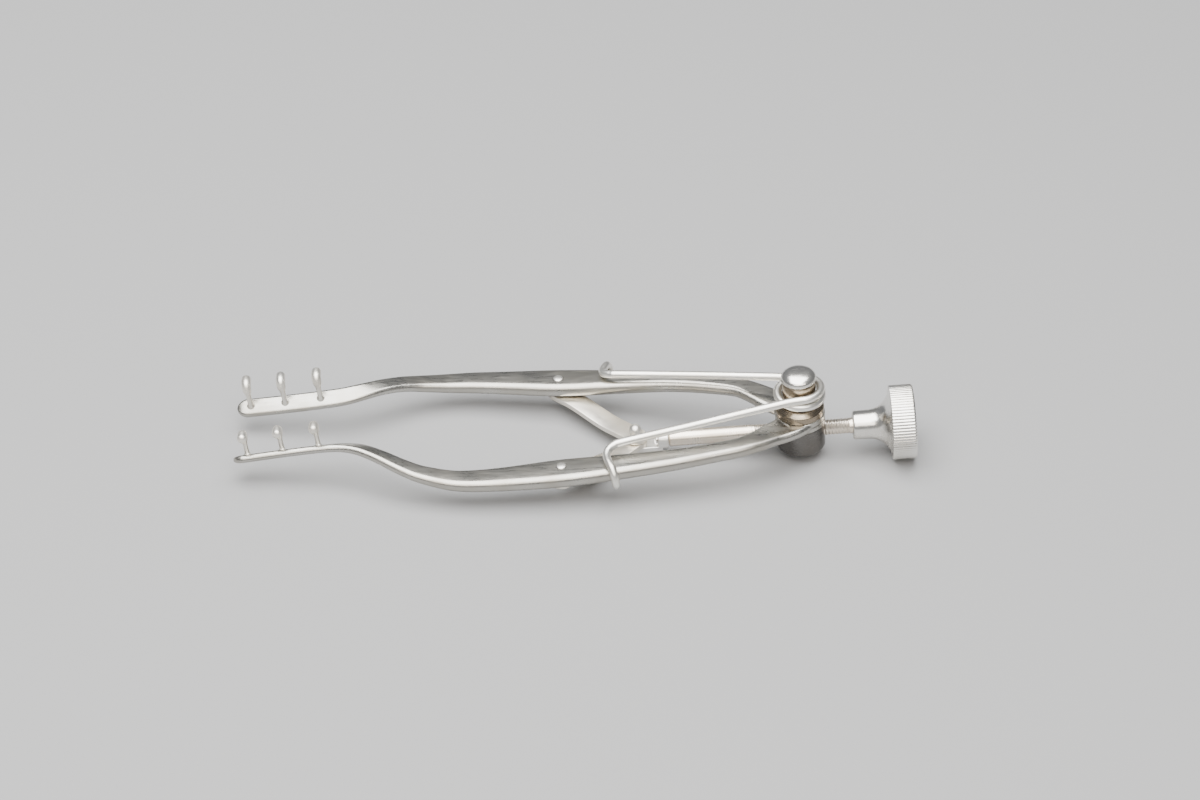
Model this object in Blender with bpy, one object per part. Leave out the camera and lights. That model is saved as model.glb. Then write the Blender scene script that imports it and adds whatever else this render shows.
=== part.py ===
"""Small self-retaining wound spreader of stainless steel.

Two flat lyre-shaped arms turn on an upright post. Each carries three blunt prongs.
A wire spring wound on the post presses the arms together. A thumb screw runs through
the post and pushes a toggle of two short links, which spreads the arms.

Dimensions are in millimetres and become metres in the mesh helpers. The origin is on
the post's axis at its flat underside, +X points to the thumb wheel and +Z to the
prongs' points. The left arm lies at -Y and the right arm at +Y.
"""

import math

import bmesh
import bpy
from mathutils import Vector

MM = 0.001
CLEAR = 0.05

# Post and screw
SCREW_Z = 2.05
POST_R = 2.88
BARREL_TOP = SCREW_Z + 1.30
SPINDLE_R = 1.45
SPINDLE_TOP = SCREW_Z + 6.70
ROD_R = 0.95
SWIVEL_X = -15.60
JOURNAL_R = 0.45
HUB_X = 6.10
WHEEL_X = 10.58
WHEEL_R = 4.40
WHEEL_END_X = 13.45
THREAD_BORE_R = 1.05

# Knuckles, lapped one on the other around the spindle
KNUCKLE_R = 2.95
ARM_TOP = SCREW_Z + 2.65
LAP_Z = (BARREL_TOP + ARM_TOP) / 2

# Spring sleeve, spring and cap screw
FLANGE_TOP = SCREW_Z + 4.02
SLEEVE_R = 1.95
SLEEVE_TOP = SCREW_Z + 6.75
WIRE_R = 0.48
COIL_R = 2.55
CAP_R = 2.08
CAP_SHANK_R = 0.75

# Toggle linkage
PIVOT_X = -28.25
PIVOT_Y = 8.50
TOGGLE_X = -19.45
LINK_W = 2.55
LINK_T = 0.65
PIN_R = 0.60
HOLE_R = PIN_R + CLEAR
WAIST_R = 0.32
UPPER_EYE_Z = SCREW_Z + 0.92
LOWER_EYE_Z = SCREW_Z + 0.20
LINK_ARM_Z = SCREW_Z + 1.81

# Prong bars and prongs
BAR_TILT = math.radians(37)
PRONG_X = (-56.25, -60.50, -64.60)
PRONG_R = 0.27
PRONG_TIP_R = 0.50
PRONG_RISE = 3.20
PRONG_REACH = 1.15
PRONG_BEND = 0.55

# One arm along X: centre line's distance from the middle plane, height of the top face
# above the screw's axis, width, and thickness
ARM_Y = ((-1.0, 2.0), (-3.5, 3.5), (-5.0, 4.6), (-6.9, 5.7), (-9.2, 6.4), (-15.1, 7.6), (-23.3, 8.4),
         (-28.1, 8.75), (-35.0, 9.35), (-40.0, 9.5), (-44.3, 8.8), (-46.7, 7.95), (-49.0, 6.7),
         (-51.3, 5.45), (-53.5, 4.72), (-56.1, 4.5), (-60.3, 4.5), (-66.3, 4.67))
ARM_RISE = ((-1.0, 2.65), (-2.9, 2.65), (-4.5, 2.88), (-6.9, 3.20), (-15.1, 3.50), (-28.1, 3.62),
            (-40.0, 4.0), (-44.3, 4.70), (-46.7, 5.40), (-49.0, 6.02), (-51.3, 6.32), (-53.5, 6.27),
            (-56.1, 6.12), (-66.3, 5.50))
ARM_WIDTH = ((-1.0, 4.0), (-3.5, 3.5), (-5.0, 3.1), (-6.9, 2.7), (-11.6, 2.7), (-15.1, 2.95), (-20.9, 3.5),
             (-28.1, 4.05), (-35.0, 3.4), (-40.0, 2.95), (-44.3, 2.5), (-49.0, 2.15), (-53.5, 2.2),
             (-66.3, 2.2))
ARM_THICK = ((-1.0, 1.28), (-4.0, 1.30), (-9.0, 1.60), (-28.1, 1.75), (-40.0, 1.50), (-46.7, 1.20),
             (-51.3, 0.98), (-54.0, 0.92), (-66.3, 0.92))
ARM_TILT = ((-1.0, 0.0), (-42.0, 0.0), (-46.7, 0.15), (-51.3, 0.6), (-53.5, 0.85), (-56.0, 1.0),
            (-66.3, 1.0))
ARM_TIP_X = -66.3
ARM_ROOT_X = -1.0
STEPS = 38

# Facets of the turned pieces
RIM = 40
ROUND = 32
BORE = 24
SMALL = 14

# Spring wire: points as distance along X, distance from the middle plane, height over the screw
HOOK = ((-22.4, 10.0, 3.98), (-22.2, 10.55, 3.45), (-22.1, 10.75, 2.85), (-22.05, 10.65, 2.2),
        (-22.05, 10.25, 1.62), (-22.1, 9.6, 1.33))
LEFT_LEG = ((-1.00, 2.66, 6.12), (-6.0, 3.57, 5.78), (-13.0, 4.85, 5.30), (-20.6, 6.2, 4.82),
            (-22.0, 6.6, 4.66), (-22.75, 7.3, 4.42), (-22.9, 8.2, 4.24), (-22.7, 9.1, 4.17)) + HOOK
RIGHT_LEG = ((-1.60, 3.62, 5.10), (-6.0, 4.40, 5.05), (-13.0, 5.62, 4.92), (-20.6, 6.95, 4.72),
             (-21.9, 7.25, 4.62), (-22.7, 7.8, 4.42), (-22.9, 8.5, 4.24), (-22.7, 9.3, 4.17)) + HOOK

# Winding, by its angle round the post: height over the screw, and what is added to the coil's radius
COIL_FROM = -80
COIL_TO = 432
COIL_RISE = ((-90, 6.15), (0, 5.98), (90, 5.70), (180, 5.42), (270, 5.05), (360, 4.80), (450, 5.05))
COIL_SPREAD = ((-90, 0.05), (340, 0.05), (390, 0.35), (450, 1.05))

STEEL = (0.72, 0.71, 0.69)
WARM_STEEL = (0.70, 0.66, 0.60)
DARK_STEEL = (0.50, 0.49, 0.48)


def smooth(table, x):
    """Value at x of a smooth curve through a table of (x, value) that runs towards -X."""
    points = sorted(table)
    if x <= points[0][0]:
        return points[0][1]
    if x >= points[-1][0]:
        return points[-1][1]
    slopes = []
    for i in range(len(points)):
        before = points[max(i - 1, 0)]
        after = points[min(i + 1, len(points) - 1)]
        slopes.append((after[1] - before[1]) / (after[0] - before[0]))
    for i in range(len(points) - 1):
        (x0, v0), (x1, v1) = points[i], points[i + 1]
        if x <= x1:
            span = x1 - x0
            s = (x - x0) / span
            rise = v1 - v0
            bend = s * (1 - s) * (slopes[i] * span * (1 - s) - slopes[i + 1] * span * s)
            return v0 + rise * s * s * (3 - 2 * s) + bend
    return points[-1][1]


def make_material(name, colour, roughness):
    material = bpy.data.materials.new(name)
    material.use_nodes = True
    shader = material.node_tree.nodes["Principled BSDF"]
    shader.inputs["Base Color"].default_value = (*colour, 1.0)
    shader.inputs["Metallic"].default_value = 1.0
    shader.inputs["Roughness"].default_value = roughness
    return material


def loft(rings):
    """A closed solid through rings of points that all hold the same number of points."""
    bm = bmesh.new()
    loops = [[bm.verts.new(Vector(p) * MM) for p in ring] for ring in rings]
    count = len(loops[0])
    for lower, upper in zip(loops, loops[1:]):
        for i in range(count):
            j = (i + 1) % count
            bm.faces.new((lower[i], lower[j], upper[j], upper[i]))
    bm.faces.new(loops[0])
    bm.faces.new(loops[-1])
    bmesh.ops.recalc_face_normals(bm, faces=bm.faces)
    return bm


def circle(radius, sides, phase=0.0):
    turns = [2 * math.pi * (i + phase) / sides for i in range(sides)]
    return [(radius * math.cos(a), radius * math.sin(a)) for a in turns]


def turned(profile, sides, along_x=False, centre=(0.0, 0.0)):
    """A closed turned solid from (position, radius) pairs; a radius of 0 ends on the axis."""
    inner = [p for p in profile if p[1] > 0]
    rings = []
    for place, radius in inner:
        ring = circle(radius, sides)
        if along_x:
            rings.append([(place, centre[0] + a, centre[1] + b) for a, b in ring])
        else:
            rings.append([(centre[0] + a, centre[1] + b, place) for a, b in ring])
    return loft(rings)


def tube(points, radii, sides):
    """A round bar along points, with a radius at each point."""
    points = [Vector(p) for p in points]
    rings = []
    side = None
    for i, point in enumerate(points):
        ahead = points[min(i + 1, len(points) - 1)]
        behind = points[max(i - 1, 0)]
        tangent = (ahead - behind).normalized()
        if side is None:
            side = tangent.orthogonal().normalized()
        side = (side - tangent * side.dot(tangent)).normalized()
        other = tangent.cross(side)
        rings.append([point + (side * a + other * b) for a, b in circle(radii[i], sides)])
    return loft(rings)


def spline(points, steps):
    """Points on a smooth curve through the given points."""
    knots = [Vector(p) for p in points]
    result = []
    for i in range(len(knots) - 1):
        p0 = knots[max(i - 1, 0)]
        p1, p2 = knots[i], knots[i + 1]
        p3 = knots[min(i + 2, len(knots) - 1)]
        for k in range(steps):
            t = k / steps
            result.append(0.5 * ((2 * p1) + (p2 - p0) * t + (2 * p0 - 5 * p1 + 4 * p2 - p3) * t * t
                                 + (3 * p1 - p0 - 3 * p2 + p3) * t ** 3))
    result.append(knots[-1])
    return result


def empty(name, place, parent=None):
    """A joint's axis: what moves on it hangs from this empty."""
    axis = bpy.data.objects.new(name, None)
    axis.empty_display_size = 3 * MM
    bpy.context.scene.collection.objects.link(axis)
    axis["place_mm"] = place
    axis.location = Vector(place) * MM
    if parent:
        axis.parent = parent
        axis.location -= Vector(parent["place_mm"]) * MM
    return axis


def add_part(name, bm, material, joint):
    """Make a node from a mesh drawn in the whole object's frame, hung on its joint's empty."""
    bmesh.ops.translate(bm, verts=bm.verts, vec=-Vector(joint["place_mm"]) * MM)
    bmesh.ops.recalc_face_normals(bm, faces=bm.faces)
    mesh = bpy.data.meshes.new(name)
    bm.to_mesh(mesh)
    bm.free()
    mesh.shade_smooth()
    mesh.set_sharp_from_angle(angle=math.radians(35))
    part = bpy.data.objects.new(name, mesh)
    part.data.materials.append(material)
    bpy.context.scene.collection.objects.link(part)
    part.parent = joint
    return part


def shape_with(part, other, operation):
    """Cut another solid from a part, or join it on, and drop the helper."""
    modifier = part.modifiers.new(operation.lower(), "BOOLEAN")
    modifier.operation = operation
    modifier.object = other
    modifier.solver = "EXACT"
    other.hide_render = True
    other.display_type = "WIRE"


def helper(name, bm, joint):
    part = add_part(name, bm, bpy.data.materials["helper"], joint)
    part.hide_render = True
    part.display_type = "WIRE"
    return part


def arm_frame(x, side):
    """Centre of the top face, outward direction and face normal of one arm at x."""
    step = 0.05
    along = Vector((-2 * step, side * (smooth(ARM_Y, x - step) - smooth(ARM_Y, x + step)), 0)).normalized()
    out = Vector((along.y, -along.x, 0)) * side
    tilt = BAR_TILT * smooth(ARM_TILT, x)
    across = out * math.cos(tilt) + Vector((0, 0, math.sin(tilt)))
    normal = Vector((0, 0, math.cos(tilt))) - out * math.sin(tilt)
    top = Vector((x, side * smooth(ARM_Y, x), SCREW_Z + smooth(ARM_RISE, x)))
    return top, across, normal


def arm_ring(x, side, shrink=1.0):
    """Rounded oblong section of an arm."""
    top, across, normal = arm_frame(x, side)
    half = smooth(ARM_WIDTH, x) / 2 * shrink
    thick = smooth(ARM_THICK, x)
    edge = min(0.45 * thick, half * 0.8)
    ring = []
    for sx, sz, start in ((1, 1, 0), (-1, 1, 90), (-1, -1, 180), (1, -1, 270)):
        for turn in (0, 45, 90):
            a = math.radians(start + turn)
            u = sx * (half - edge) + edge * math.cos(a)
            v = sz * (thick / 2 - edge) + edge * math.sin(a) - thick / 2
            ring.append(top + across * u + normal * v)
    return ring


def arm_strip(side):
    rings = []
    for i in range(STEPS + 1):
        x = ARM_ROOT_X + (ARM_TIP_X + 1.0 - ARM_ROOT_X) * i / STEPS
        rings.append(arm_ring(x, side))
    for angle in (30, 55, 75):
        a = math.radians(angle)
        rings.append(arm_ring(ARM_TIP_X + 1.0 - math.sin(a), side, math.cos(a)))
    return loft(rings)


def prong(x, side, joint, name, material):
    """A blunt hook: its stem stands in a hole in the bar and its point turns outwards."""
    top = arm_frame(x, side)[0]
    lean = Vector((-0.075, 0, 1)).normalized()
    out = Vector((0, side, 0))
    foot = top - lean * 0.95
    start = top + lean * (PRONG_RISE - PRONG_BEND)
    path = [foot, top + lean * 1.3, start]
    for k in range(1, 4):
        a = math.radians(30 * k)
        path.append(start + lean * PRONG_BEND * math.sin(a) + out * PRONG_BEND * (1 - math.cos(a)))
    end = path[-1] + out * (PRONG_REACH - PRONG_BEND)
    path += [end]
    radii = [PRONG_R, PRONG_R, 0.42, 0.46, 0.48, PRONG_TIP_R, PRONG_TIP_R]
    for k in (35, 65):
        a = math.radians(k)
        path.append(end + out * PRONG_TIP_R * 0.8 * math.sin(a))
        radii.append(PRONG_TIP_R * math.cos(a))
    add_part(name, tube(path, radii, 8), material, joint)


def make_arm(side, name, joint, material):
    arm = add_part(name, arm_strip(side), material, joint)
    upper = side < 0
    low, high = (LAP_Z + CLEAR / 2, ARM_TOP) if upper else (BARREL_TOP + CLEAR, LAP_Z - CLEAR / 2)
    relief = (0.0, LAP_Z + CLEAR / 2) if upper else (LAP_Z - CLEAR / 2, ARM_TOP + 2)
    room = turned(((relief[0], KNUCKLE_R + 0.15), (relief[1], KNUCKLE_R + 0.15)), ROUND)
    shape_with(arm, helper(name + "_relief", room, joint), "DIFFERENCE")
    disc = turned(((low, KNUCKLE_R - 0.1), (low + 0.1, KNUCKLE_R), (high - 0.15, KNUCKLE_R),
                   (high, KNUCKLE_R - 0.15)), ROUND)
    shape_with(arm, helper(name + "_knuckle", disc, joint), "UNION")
    bore = turned(((0.0, SPINDLE_R + CLEAR), (ARM_TOP + 2, SPINDLE_R + CLEAR)), BORE)
    shape_with(arm, helper(name + "_bore", bore, joint), "DIFFERENCE")
    hole = turned(((0.0, HOLE_R), (ARM_TOP + 4, HOLE_R)), SMALL, centre=(PIVOT_X, side * PIVOT_Y))
    shape_with(arm, helper(name + "_rivet_hole", hole, joint), "DIFFERENCE")
    for number, x in enumerate(PRONG_X, 1):
        top = arm_frame(x, side)[0]
        lean = Vector((-0.075, 0, 1)).normalized()
        socket = tube((top - lean * 2.5, top + lean * 2.0), (PRONG_R + CLEAR,) * 2, 8)
        shape_with(arm, helper(f"{name}_prong_hole_{number}", socket, joint), "DIFFERENCE")
    return arm


def link_plate(side, eye_z):
    """A flat link from the arm's rivet to the toggle pin, stepped down to its eye's height."""
    arm_end = Vector((PIVOT_X, side * PIVOT_Y, 0))
    toggle_end = Vector((TOGGLE_X, 0, 0))
    along = (toggle_end - arm_end).normalized()
    across = Vector((along.y, -along.x, 0))
    length = (toggle_end - arm_end).length
    half = LINK_W / 2
    stations = []
    for angle in (80, 60, 40, 20, 0):
        a = math.radians(angle)
        stations.append((-half * math.sin(a), half * math.cos(a)))
    for k in range(1, 9):
        stations.append((length * k / 9, half))
    for angle in (0, 20, 40, 60, 80):
        a = math.radians(angle)
        stations.append((length + half * math.sin(a), half * math.cos(a)))
    rings = []
    for run, wide in stations:
        s = min(max((run - 1.8) / (length - 5.2), 0), 1)
        top = LINK_ARM_Z + (eye_z - LINK_ARM_Z) * s * s * (3 - 2 * s)
        middle = arm_end + along * run
        high, low = Vector((0, 0, top)), Vector((0, 0, top - LINK_T))
        rings.append([middle + across * wide + high, middle - across * wide + high,
                      middle - across * wide + low, middle + across * wide + low])
    return loft(rings)


def make_link(side, name, joint, eye_z, material):
    link = add_part(name, link_plate(side, eye_z), material, joint)
    for end, x, y in (("arm", PIVOT_X, side * PIVOT_Y), ("toggle", TOGGLE_X, 0.0)):
        hole = turned(((-2.0, HOLE_R), (ARM_TOP + 2, HOLE_R)), SMALL, centre=(x, y))
        shape_with(link, helper(f"{name}_{end}_hole", hole, joint), "DIFFERENCE")
    return link


def make_rivet(side, name, joint, material):
    """A rivet through arm and link: a low dome above, a wider upset head below."""
    top = SCREW_Z + smooth(ARM_RISE, PIVOT_X)
    low = LINK_ARM_Z - LINK_T - CLEAR
    profile = ((low - 0.22, 0.55), (low - 0.16, 0.80), (low, 0.88), (low + 0.001, PIN_R), (top, PIN_R),
               (top + 0.12, PIN_R * 0.85), (top + 0.20, PIN_R * 0.5))
    add_part(name, turned(profile, SMALL, centre=(PIVOT_X, side * PIVOT_Y)), material, joint)


def make_post(joint, material):
    profile = ((0.0, POST_R - 0.2), (0.2, POST_R), (BARREL_TOP - 0.1, POST_R), (BARREL_TOP, POST_R - 0.1),
               (BARREL_TOP + 0.001, SPINDLE_R), (SPINDLE_TOP, SPINDLE_R))
    post = add_part("post", turned(profile, ROUND), material, joint)
    bore = turned(((-4.0, THREAD_BORE_R), (4.0, THREAD_BORE_R)), BORE, along_x=True, centre=(0.0, SCREW_Z))
    shape_with(post, helper("post_screw_bore", bore, joint), "DIFFERENCE")
    seat_r = CAP_SHANK_R + CLEAR
    seat = turned(((SPINDLE_TOP - 3.2, seat_r), (SPINDLE_TOP + 1, seat_r)), SMALL)
    shape_with(post, helper("post_cap_bore", seat, joint), "DIFFERENCE")
    return post


def make_spring_sleeve(joint, material):
    low = ARM_TOP + CLEAR
    profile = ((low, POST_R - 0.1), (low + 0.12, POST_R), (FLANGE_TOP - 0.25, POST_R),
               (FLANGE_TOP, POST_R - 0.25), (FLANGE_TOP + 0.001, SLEEVE_R), (SLEEVE_TOP, SLEEVE_R))
    sleeve = add_part("spring_sleeve", turned(profile, ROUND), material, joint)
    bore = turned(((low - 1, SPINDLE_R + CLEAR), (SLEEVE_TOP + 1, SPINDLE_R + CLEAR)), BORE)
    shape_with(sleeve, helper("spring_sleeve_bore", bore, joint), "DIFFERENCE")


def make_cap_screw(joint, material):
    base = SLEEVE_TOP + 0.10
    profile = [(SPINDLE_TOP - 3.0, CAP_SHANK_R), (base - 0.001, CAP_SHANK_R), (base, CAP_R - 0.25),
               (base + 0.25, CAP_R), (base + 0.75, CAP_R)]
    for angle in (20, 42, 62, 78):
        a = math.radians(angle)
        profile.append((base + 0.75 + 0.95 * math.sin(a), CAP_R * math.cos(a)))
    add_part("cap_screw", turned(profile, ROUND), material, joint)


def make_coil(joint, material):
    """One and a half turns: in at the front on top, round the rear, out behind lower down."""
    path = []
    count = 40
    for i in range(count + 1):
        angle = COIL_FROM + (COIL_TO - COIL_FROM) * i / count
        a = math.radians(angle)
        radius = COIL_R + smooth(COIL_SPREAD, angle)
        path.append((radius * math.cos(a), radius * math.sin(a), SCREW_Z + smooth(COIL_RISE, angle)))
    add_part("spring_coil", tube(path, [WIRE_R] * len(path), 8), material, joint)


def make_spring_leg(points, side, name, joint, material):
    placed = [(x, side * y, SCREW_Z + z) for x, y, z in points]
    path = spline(placed, 2)
    add_part(name, tube(path, [WIRE_R] * len(path), 8), material, joint)


def make_toggle(carriage, swivel_material, pin_material):
    """The block that the screw pushes, its toggle pin, and the ring that keeps the screw in it."""
    wall = (SWIVEL_X - 1.25, SWIVEL_X - 0.03)
    body = turned(((wall[0], 1.05), (wall[0] + 0.08, 1.12), (wall[1] - 0.08, 1.12), (wall[1], 1.05)),
                  BORE, along_x=True, centre=(0.0, SCREW_Z))
    block = add_part("toggle_block", body, swivel_material, carriage)
    tongue_top = LOWER_EYE_Z - LINK_T - CLEAR
    tongue_low = SCREW_Z - 1.12
    half = 0.95
    outline = [(wall[0] + 0.5, -half), (wall[0] + 0.5, half)]
    for angle in range(90, 271, 30):
        a = math.radians(angle)
        outline.append((TOGGLE_X + half * math.cos(a), half * math.sin(a)))
    tongue = loft([[(x, y, tongue_low) for x, y in outline], [(x, y, tongue_top) for x, y in outline]])
    shape_with(block, helper("toggle_tongue", tongue, carriage), "UNION")
    bore = turned(((wall[0] - 0.5, JOURNAL_R + CLEAR), (wall[1] + 1, JOURNAL_R + CLEAR)), SMALL,
                  along_x=True, centre=(0.0, SCREW_Z))
    shape_with(block, helper("toggle_block_bore", bore, carriage), "DIFFERENCE")
    ring_room = turned(((wall[0] - 0.45, 0.80), (wall[0], 0.80)), SMALL, along_x=True,
                       centre=(0.0, SCREW_Z))
    shape_with(block, helper("toggle_ring_room", ring_room, carriage), "DIFFERENCE")
    pin_hole = turned(((-4.0, WAIST_R + CLEAR), (6.0, WAIST_R + CLEAR)), SMALL, centre=(TOGGLE_X, 0.0))
    shape_with(block, helper("toggle_pin_hole", pin_hole, carriage), "DIFFERENCE")

    head = UPPER_EYE_Z + CLEAR
    profile = ((tongue_low - 0.55, 0.35), (tongue_low - 0.45, 0.60), (tongue_low - CLEAR, 0.70),
               (tongue_low - CLEAR + 0.001, WAIST_R), (head - 0.001, WAIST_R), (head, 0.72),
               (head + 0.75, 0.72), (head + 1.12, 0.58), (head + 1.32, 0.30))
    add_part("toggle_pin", turned(profile, SMALL, centre=(TOGGLE_X, 0.0)), pin_material, carriage)


def make_screw(joint, rod_material, wheel_material):
    """Rod with its journal, and the thumb wheel with its flared hub."""
    block_face = SWIVEL_X - 1.25
    profile = ((block_face - 0.32, JOURNAL_R), (SWIVEL_X - 0.001, JOURNAL_R), (SWIVEL_X, ROD_R),
               (HUB_X + 3.0, ROD_R), (HUB_X + 3.1, ROD_R - 0.1))
    add_part("screw_rod", turned(profile, BORE, along_x=True, centre=(0.0, SCREW_Z)), rod_material, joint)
    washer = turned(((block_face - 0.30, 0.66), (block_face - 0.04, 0.70)), SMALL, along_x=True,
                    centre=(0.0, SCREW_Z))
    ring = add_part("rod_end_ring", washer, rod_material, joint)
    ring_bore = turned(((block_face - 2, JOURNAL_R + 0.02), (block_face + 2, JOURNAL_R + 0.02)), SMALL,
                       along_x=True, centre=(0.0, SCREW_Z))
    shape_with(ring, helper("rod_end_ring_bore", ring_bore, joint), "DIFFERENCE")

    profile = ((HUB_X, 1.50), (HUB_X + 0.2, 1.70), (HUB_X + 2.4, 1.76), (HUB_X + 3.2, 2.05),
               (HUB_X + 3.8, 2.55), (HUB_X + 4.25, 3.20), (WHEEL_X, 3.65), (WHEEL_X + 0.01, WHEEL_R - 0.12),
               (WHEEL_X + 0.12, WHEEL_R), (WHEEL_END_X - 0.35, WHEEL_R), (WHEEL_END_X, WHEEL_R - 0.40))
    body = turned(profile, RIM, along_x=True, centre=(0.0, SCREW_Z))
    wheel = add_part("thumb_wheel", body, wheel_material, joint)
    bore = turned(((HUB_X - 1, ROD_R + CLEAR), (HUB_X + 3.3, ROD_R + CLEAR)), BORE, along_x=True,
                  centre=(0.0, SCREW_Z))
    shape_with(wheel, helper("thumb_wheel_bore", bore, joint), "DIFFERENCE")


def build():
    for existing in list(bpy.data.objects):
        bpy.data.objects.remove(existing, do_unlink=True)
    make_material("helper", (1.0, 0.3, 0.1), 0.5)
    satin = make_material("satin_steel", STEEL, 0.30)
    polished = make_material("polished_steel", STEEL, 0.15)
    warm = make_material("warm_steel", WARM_STEEL, 0.25)
    dark = make_material("dark_steel", DARK_STEEL, 0.35)

    frame = empty("frame_axis", (0.0, 0.0, 0.0))
    make_post(frame, dark)
    make_spring_sleeve(frame, warm)
    make_cap_screw(frame, polished)
    make_coil(frame, polished)

    for side, word, eye_z, leg in ((-1, "left", LOWER_EYE_Z, LEFT_LEG),
                                   (1, "right", UPPER_EYE_Z, RIGHT_LEG)):
        arm_axis = empty(word + "_arm_axis", (0.0, 0.0, LAP_Z), frame)
        make_arm(side, word + "_arm", arm_axis, satin)
        for number, x in enumerate(PRONG_X, 1):
            prong(x, side, arm_axis, f"{word}_prong_{number}", polished)
        make_rivet(side, word + "_link_rivet", arm_axis, polished)
        make_spring_leg(leg, side, word + "_spring_leg", arm_axis, polished)
        link_axis = empty(word + "_link_axis", (PIVOT_X, side * PIVOT_Y, LINK_ARM_Z), arm_axis)
        make_link(side, word + "_link", link_axis, eye_z, satin)

    carriage = empty("carriage_axis", (TOGGLE_X, 0.0, SCREW_Z), frame)
    make_toggle(carriage, satin, polished)
    screw = empty("screw_axis", (0.0, 0.0, SCREW_Z), carriage)
    make_screw(screw, warm, polished)


build()
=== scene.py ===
"""Small self-retaining spreader of stainless steel: final meshes, materials, light and camera.

Lengths are in millimetres and become metres in the mesh helpers. The frame is the CAD
model's: the post's axis is Z, the screw's axis is X at height SCREW_Z. A side is -1 for the
left, near arm and 1 for the right, far one.
"""

import math

import bmesh
import bpy
from mathutils import Matrix, Vector


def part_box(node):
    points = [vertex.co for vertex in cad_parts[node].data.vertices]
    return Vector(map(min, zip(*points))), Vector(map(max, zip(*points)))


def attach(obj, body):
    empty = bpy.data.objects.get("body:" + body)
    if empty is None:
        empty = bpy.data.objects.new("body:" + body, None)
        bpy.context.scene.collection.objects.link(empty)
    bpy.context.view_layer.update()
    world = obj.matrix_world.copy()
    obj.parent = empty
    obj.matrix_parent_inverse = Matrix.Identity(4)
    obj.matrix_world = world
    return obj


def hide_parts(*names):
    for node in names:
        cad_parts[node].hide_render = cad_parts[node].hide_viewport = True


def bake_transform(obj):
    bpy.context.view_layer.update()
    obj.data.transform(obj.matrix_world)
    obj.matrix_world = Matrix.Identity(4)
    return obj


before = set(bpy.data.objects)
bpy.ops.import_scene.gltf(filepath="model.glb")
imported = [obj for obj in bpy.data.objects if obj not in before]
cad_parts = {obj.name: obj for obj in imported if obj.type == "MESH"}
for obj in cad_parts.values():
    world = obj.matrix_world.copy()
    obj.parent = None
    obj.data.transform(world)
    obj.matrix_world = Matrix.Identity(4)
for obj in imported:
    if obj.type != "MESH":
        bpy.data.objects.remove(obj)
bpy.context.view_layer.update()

MM = 0.001
TURN = 2 * math.pi


def centre_mm(node):
    low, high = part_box(node)
    return (low + high) / 2 / MM


def low_mm(node):
    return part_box(node)[0] / MM


def high_mm(node):
    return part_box(node)[1] / MM


SCREW_Z = centre_mm("thumb_wheel").z
PIN = centre_mm("toggle_pin")
RIVET = {-1: centre_mm("left_link_rivet"), 1: centre_mm("right_link_rivet")}
WORD = {-1: "left", 1: "right"}
SIDES = (-1, 1)

# Sizes shared with the CAD model
POST_R = 2.88
BARREL_TOP = SCREW_Z + 1.30
SPINDLE_R = 1.45
ROD_R = 0.95
KNUCKLE_R = 2.95
ARM_TOP = SCREW_Z + 2.65
LAP_Z = (BARREL_TOP + ARM_TOP) / 2
FLANGE_TOP = SCREW_Z + 4.02
SLEEVE_R = 1.95
WIRE_R = 0.48
COIL_R = 2.55
CAP_R = 2.08
CAP_SHANK_R = 0.75
LINK_W = 2.55
LINK_T = 0.65
LINK_ARM_Z = SCREW_Z + 1.81
EYE_Z = {-1: SCREW_Z + 0.20, 1: SCREW_Z + 0.92}
EYE_R = 0.65
PIN_R = 0.60
GAP = 0.05
WAIST_R = 0.32
JOURNAL_R = 0.45
SWIVEL_X = -15.60
WHEEL_X = 10.58
WHEEL_R = 4.40
BAR_TILT = math.radians(37)
PRONG_X = (-56.25, -60.50, -64.60)
PRONG_LEAN = Vector((-0.075, 0, 1)).normalized()
PRONG_RISE = 3.20
PRONG_REACH = 1.15
PRONG_BEND = 0.55
STEM_R = 0.27

# Sizes and details of the finer meshes
KNUCKLE_RELIEF = 0.15
KNUCKLE_EDGE = 0.12
THREAD_BORE_R = 1.0
SLEEVE_TOP = SCREW_Z + 7.15
SLEEVE_FIT = 0.02
CAP_LIFT = 0.10
CAP_SIDE = 0.32
CAP_CHAMFER = 0.16
CAP_DOME_POWER = 0.9
LINK_BEAD = 0.10
RIVET_LIFT = 0.03
PIN_SIDE = 0.72
PIN_HEAD_R = 0.72
SWIVEL_WALL = 1.22
SWIVEL_SLOT = 0.45
SWIVEL_SLOT_R = 0.80
TONGUE_W = 1.90
WASHER_R = 0.70
THREAD_PITCH = 0.40
THREAD_DEPTH = 0.10
THREAD_FROM = -6.0
THREAD_TO = 6.0
KNURL_RIBS = 72
KNURL_DEPTH = 0.06
FACE_RECESS = 0.18
FACE_RECESS_R = 0.9
FOOT_DEPTH = 0.5
FOOT_TURN = 0.62
BLUNT_R = 0.57
# Height up the stem and its radius, from the brazed fillet to the start of the bend
BRAZED_FOOT = ((-0.12, 0.62), (-0.02, 0.56), (0.05, 0.48), (0.13, 0.41), (0.24, 0.355),
               (0.40, 0.32), (0.62, 0.30), (0.90, 0.295), (1.20, 0.295), (1.50, 0.30),
               (1.75, 0.32), (1.95, 0.365), (2.10, 0.42), (2.25, 0.475), (2.42, 0.51))
# Degrees round the bend and the radius there
HOOK_R = ((0, 0.53), (30, 0.55), (60, 0.56), (90, 0.57))

# A turned mesh's axis, when it is the screw's
ON_SCREW = {"along_x": True, "centre": (0.0, SCREW_Z)}

# Sides of the round meshes
FINE = 128
ROUND = 96
BORE = 64
SMALL = 48
HOLE = 40
TINY = 32
PRONG_SIDES = 28
WIRE_SIDES = 24

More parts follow.
